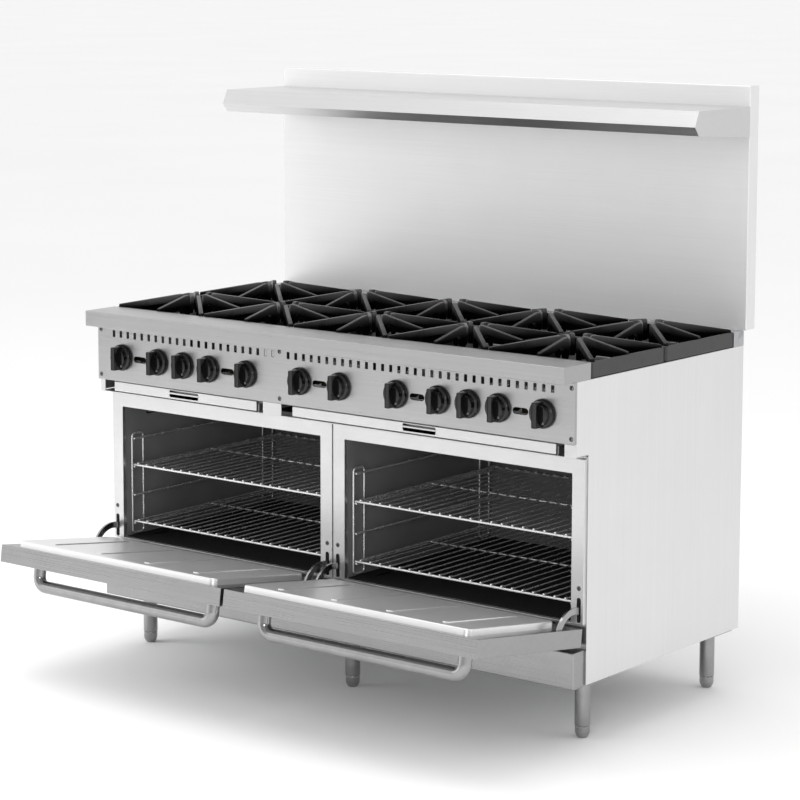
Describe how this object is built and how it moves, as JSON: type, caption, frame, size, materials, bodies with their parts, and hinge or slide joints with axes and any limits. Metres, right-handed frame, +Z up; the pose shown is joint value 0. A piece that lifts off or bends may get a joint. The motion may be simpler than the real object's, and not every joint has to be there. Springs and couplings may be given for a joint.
{
  "type": "commercial gas range",
  "caption": "Free-standing restaurant gas range: open burners under cast grates, two ovens with drop-down doors, crumb trays, a backguard and a high shelf.",
  "frame": {"origin": "on the floor, at the middle of the outline with both doors open", "axes": "+X to the range's right as seen from the front, +Y to the rear, +Z up"},
  "size_m": [1.524, 1.162, 1.524],
  "materials": {
    "stainless_steel": "brushed stainless sheet",
    "galvanised_sheet": "dull plated steel sheet",
    "cast_iron": "matt black cast iron",
    "black_plastic": "glossy black moulding",
    "bright_chrome": "bright plated steel",
    "oven_enamel": "dark grey porcelain enamel",
    "pipe_steel": "dull steel pipe",
    "valve_brass": "plain brass",
    "hinge_steel": "zinc-plated steel"
  },
  "bodies": {
    "range_body": {"side_panel_left": "stainless_steel", "side_panel_right": "stainless_steel", "back_panel": "galvanised_sheet", "base_pan": "galvanised_sheet", "kick_panel": "stainless_steel", "control_panel": "stainless_steel", "front_ledge": "stainless_steel", "oven_front_frame": "stainless_steel", "oven_liners": "oven_enamel", "oven_floor_plates": "oven_enamel", "rack_guides": "bright_chrome", "oven_burners": "pipe_steel", "burner_box": "galvanised_sheet", "top_burners": "cast_iron", "gas_manifold": "pipe_steel", "gas_valves": "valve_brass", "oven_thermostats": "valve_brass", "backguard": "stainless_steel", "backguard_supports": "galvanised_sheet", "high_shelf": "stainless_steel", "legs": "bright_chrome", "feet": "bright_chrome", "hinge_brackets": "hinge_steel", "panel_screws": "bright_chrome"},
    "door_left": {"door_left_pan": "stainless_steel", "door_left_liner": "stainless_steel", "door_left_handle": "bright_chrome", "door_left_hinge_arms": "hinge_steel"},
    "door_right": {"door_right_pan": "stainless_steel", "door_right_liner": "stainless_steel", "door_right_handle": "bright_chrome", "door_right_hinge_arms": "hinge_steel"},
    "knob_1": {"knob_1": "black_plastic"},
    "knob_2": {"knob_2": "black_plastic"},
    "knob_3": {"knob_3": "black_plastic"},
    "knob_4": {"knob_4": "black_plastic"},
    "knob_5": {"knob_5": "black_plastic"},
    "knob_6": {"knob_6": "black_plastic"},
    "knob_7": {"knob_7": "black_plastic"},
    "knob_8": {"knob_8": "black_plastic"},
    "knob_9": {"knob_9": "black_plastic"},
    "knob_10": {"knob_10": "black_plastic"},
    "thermostat_knob_left": {"thermostat_knob_left": "black_plastic"},
    "thermostat_knob_right": {"thermostat_knob_right": "black_plastic"},
    "rack_left_lower": {"rack_left_lower": "bright_chrome"},
    "rack_left_upper": {"rack_left_upper": "bright_chrome"},
    "crumb_tray_left": {"crumb_tray_left": "stainless_steel"},
    "rack_right_lower": {"rack_right_lower": "bright_chrome"},
    "rack_right_upper": {"rack_right_upper": "bright_chrome"},
    "crumb_tray_right": {"crumb_tray_right": "stainless_steel"},
    "grate_front_1": {"grate_front_1": "cast_iron"},
    "grate_front_2": {"grate_front_2": "cast_iron"},
    "grate_front_3": {"grate_front_3": "cast_iron"},
    "grate_front_4": {"grate_front_4": "cast_iron"},
    "grate_front_5": {"grate_front_5": "cast_iron"},
    "grate_rear_1": {"grate_rear_1": "cast_iron"},
    "grate_rear_2": {"grate_rear_2": "cast_iron"},
    "grate_rear_3": {"grate_rear_3": "cast_iron"},
    "grate_rear_4": {"grate_rear_4": "cast_iron"},
    "grate_rear_5": {"grate_rear_5": "cast_iron"}
  },
  "joints": [
    {"name": "door_left_hinge", "type": "hinge", "parent": "range_body", "child": "door_left", "pos_m": [-0.381, -0.18695, 0.269], "axis": [-1, 0, 0], "range_deg": [0, 81.8]},
    {"name": "door_right_hinge", "type": "hinge", "parent": "range_body", "child": "door_right", "pos_m": [0.381, -0.18695, 0.269], "axis": [-1, 0, 0], "range_deg": [0, 81.8]},
    {"name": "knob_1_turn", "type": "hinge", "parent": "range_body", "child": "knob_1", "pos_m": [-0.6731, -0.21545, 0.795], "axis": [0, -1, 0], "range_deg": [0, 90]},
    {"name": "knob_2_turn", "type": "hinge", "parent": "range_body", "child": "knob_2", "pos_m": [-0.5461, -0.21545, 0.795], "axis": [0, -1, 0], "range_deg": [0, 90]},
    {"name": "knob_3_turn", "type": "hinge", "parent": "range_body", "child": "knob_3", "pos_m": [-0.3683, -0.21545, 0.795], "axis": [0, -1, 0], "range_deg": [0, 90]},
    {"name": "knob_4_turn", "type": "hinge", "parent": "range_body", "child": "knob_4", "pos_m": [-0.2413, -0.21545, 0.795], "axis": [0, -1, 0], "range_deg": [0, 90]},
    {"name": "knob_5_turn", "type": "hinge", "parent": "range_body", "child": "knob_5", "pos_m": [-0.0635, -0.21545, 0.795], "axis": [0, -1, 0], "range_deg": [0, 90]},
    {"name": "knob_6_turn", "type": "hinge", "parent": "range_body", "child": "knob_6", "pos_m": [0.0635, -0.21545, 0.795], "axis": [0, -1, 0], "range_deg": [0, 90]},
    {"name": "knob_7_turn", "type": "hinge", "parent": "range_body", "child": "knob_7", "pos_m": [0.2413, -0.21545, 0.795], "axis": [0, -1, 0], "range_deg": [0, 90]},
    {"name": "knob_8_turn", "type": "hinge", "parent": "range_body", "child": "knob_8", "pos_m": [0.3683, -0.21545, 0.795], "axis": [0, -1, 0], "range_deg": [0, 90]},
    {"name": "knob_9_turn", "type": "hinge", "parent": "range_body", "child": "knob_9", "pos_m": [0.5461, -0.21545, 0.795], "axis": [0, -1, 0], "range_deg": [0, 90]},
    {"name": "knob_10_turn", "type": "hinge", "parent": "range_body", "child": "knob_10", "pos_m": [0.6731, -0.21545, 0.795], "axis": [0, -1, 0], "range_deg": [0, 90]},
    {"name": "thermostat_knob_left_turn", "type": "hinge", "parent": "range_body", "child": "thermostat_knob_left", "pos_m": [-0.4572, -0.21545, 0.795], "axis": [0, -1, 0], "range_deg": [0, 270]},
    {"name": "thermostat_knob_right_turn", "type": "hinge", "parent": "range_body", "child": "thermostat_knob_right", "pos_m": [0.4572, -0.21545, 0.795], "axis": [0, -1, 0], "range_deg": [0, 270]},
    {"name": "rack_left_lower_slide", "type": "slide", "parent": "range_body", "child": "rack_left_lower", "axis": [0, 1, 0], "range_m": [-0.2, 0]},
    {"name": "rack_left_upper_slide", "type": "slide", "parent": "range_body", "child": "rack_left_upper", "axis": [0, 1, 0], "range_m": [-0.36, 0]},
    {"name": "crumb_tray_left_slide", "type": "slide", "parent": "range_body", "child": "crumb_tray_left", "axis": [0, -1, 0], "range_m": [0, 0.45]},
    {"name": "rack_right_lower_slide", "type": "slide", "parent": "range_body", "child": "rack_right_lower", "axis": [0, 1, 0], "range_m": [-0.2, 0]},
    {"name": "rack_right_upper_slide", "type": "slide", "parent": "range_body", "child": "rack_right_upper", "axis": [0, 1, 0], "range_m": [-0.36, 0]},
    {"name": "crumb_tray_right_slide", "type": "slide", "parent": "range_body", "child": "crumb_tray_right", "axis": [0, -1, 0], "range_m": [0, 0.45]},
    {"name": "grate_front_1_lift", "type": "slide", "parent": "range_body", "child": "grate_front_1", "axis": [0, 0, 1], "range_m": [0, 0.08]},
    {"name": "grate_front_2_lift", "type": "slide", "parent": "range_body", "child": "grate_front_2", "axis": [0, 0, 1], "range_m": [0, 0.08]},
    {"name": "grate_front_3_lift", "type": "slide", "parent": "range_body", "child": "grate_front_3", "axis": [0, 0, 1], "range_m": [0, 0.08]},
    {"name": "grate_front_4_lift", "type": "slide", "parent": "range_body", "child": "grate_front_4", "axis": [0, 0, 1], "range_m": [0, 0.08]},
    {"name": "grate_front_5_lift", "type": "slide", "parent": "range_body", "child": "grate_front_5", "axis": [0, 0, 1], "range_m": [0, 0.08]},
    {"name": "grate_rear_1_lift", "type": "slide", "parent": "range_body", "child": "grate_rear_1", "axis": [0, 0, 1], "range_m": [0, 0.08]},
    {"name": "grate_rear_2_lift", "type": "slide", "parent": "range_body", "child": "grate_rear_2", "axis": [0, 0, 1], "range_m": [0, 0.08]},
    {"name": "grate_rear_3_lift", "type": "slide", "parent": "range_body", "child": "grate_rear_3", "axis": [0, 0, 1], "range_m": [0, 0.08]},
    {"name": "grate_rear_4_lift", "type": "slide", "parent": "range_body", "child": "grate_rear_4", "axis": [0, 0, 1], "range_m": [0, 0.08]},
    {"name": "grate_rear_5_lift", "type": "slide", "parent": "range_body", "child": "grate_rear_5", "axis": [0, 0, 1], "range_m": [0, 0.08]}
  ]
}
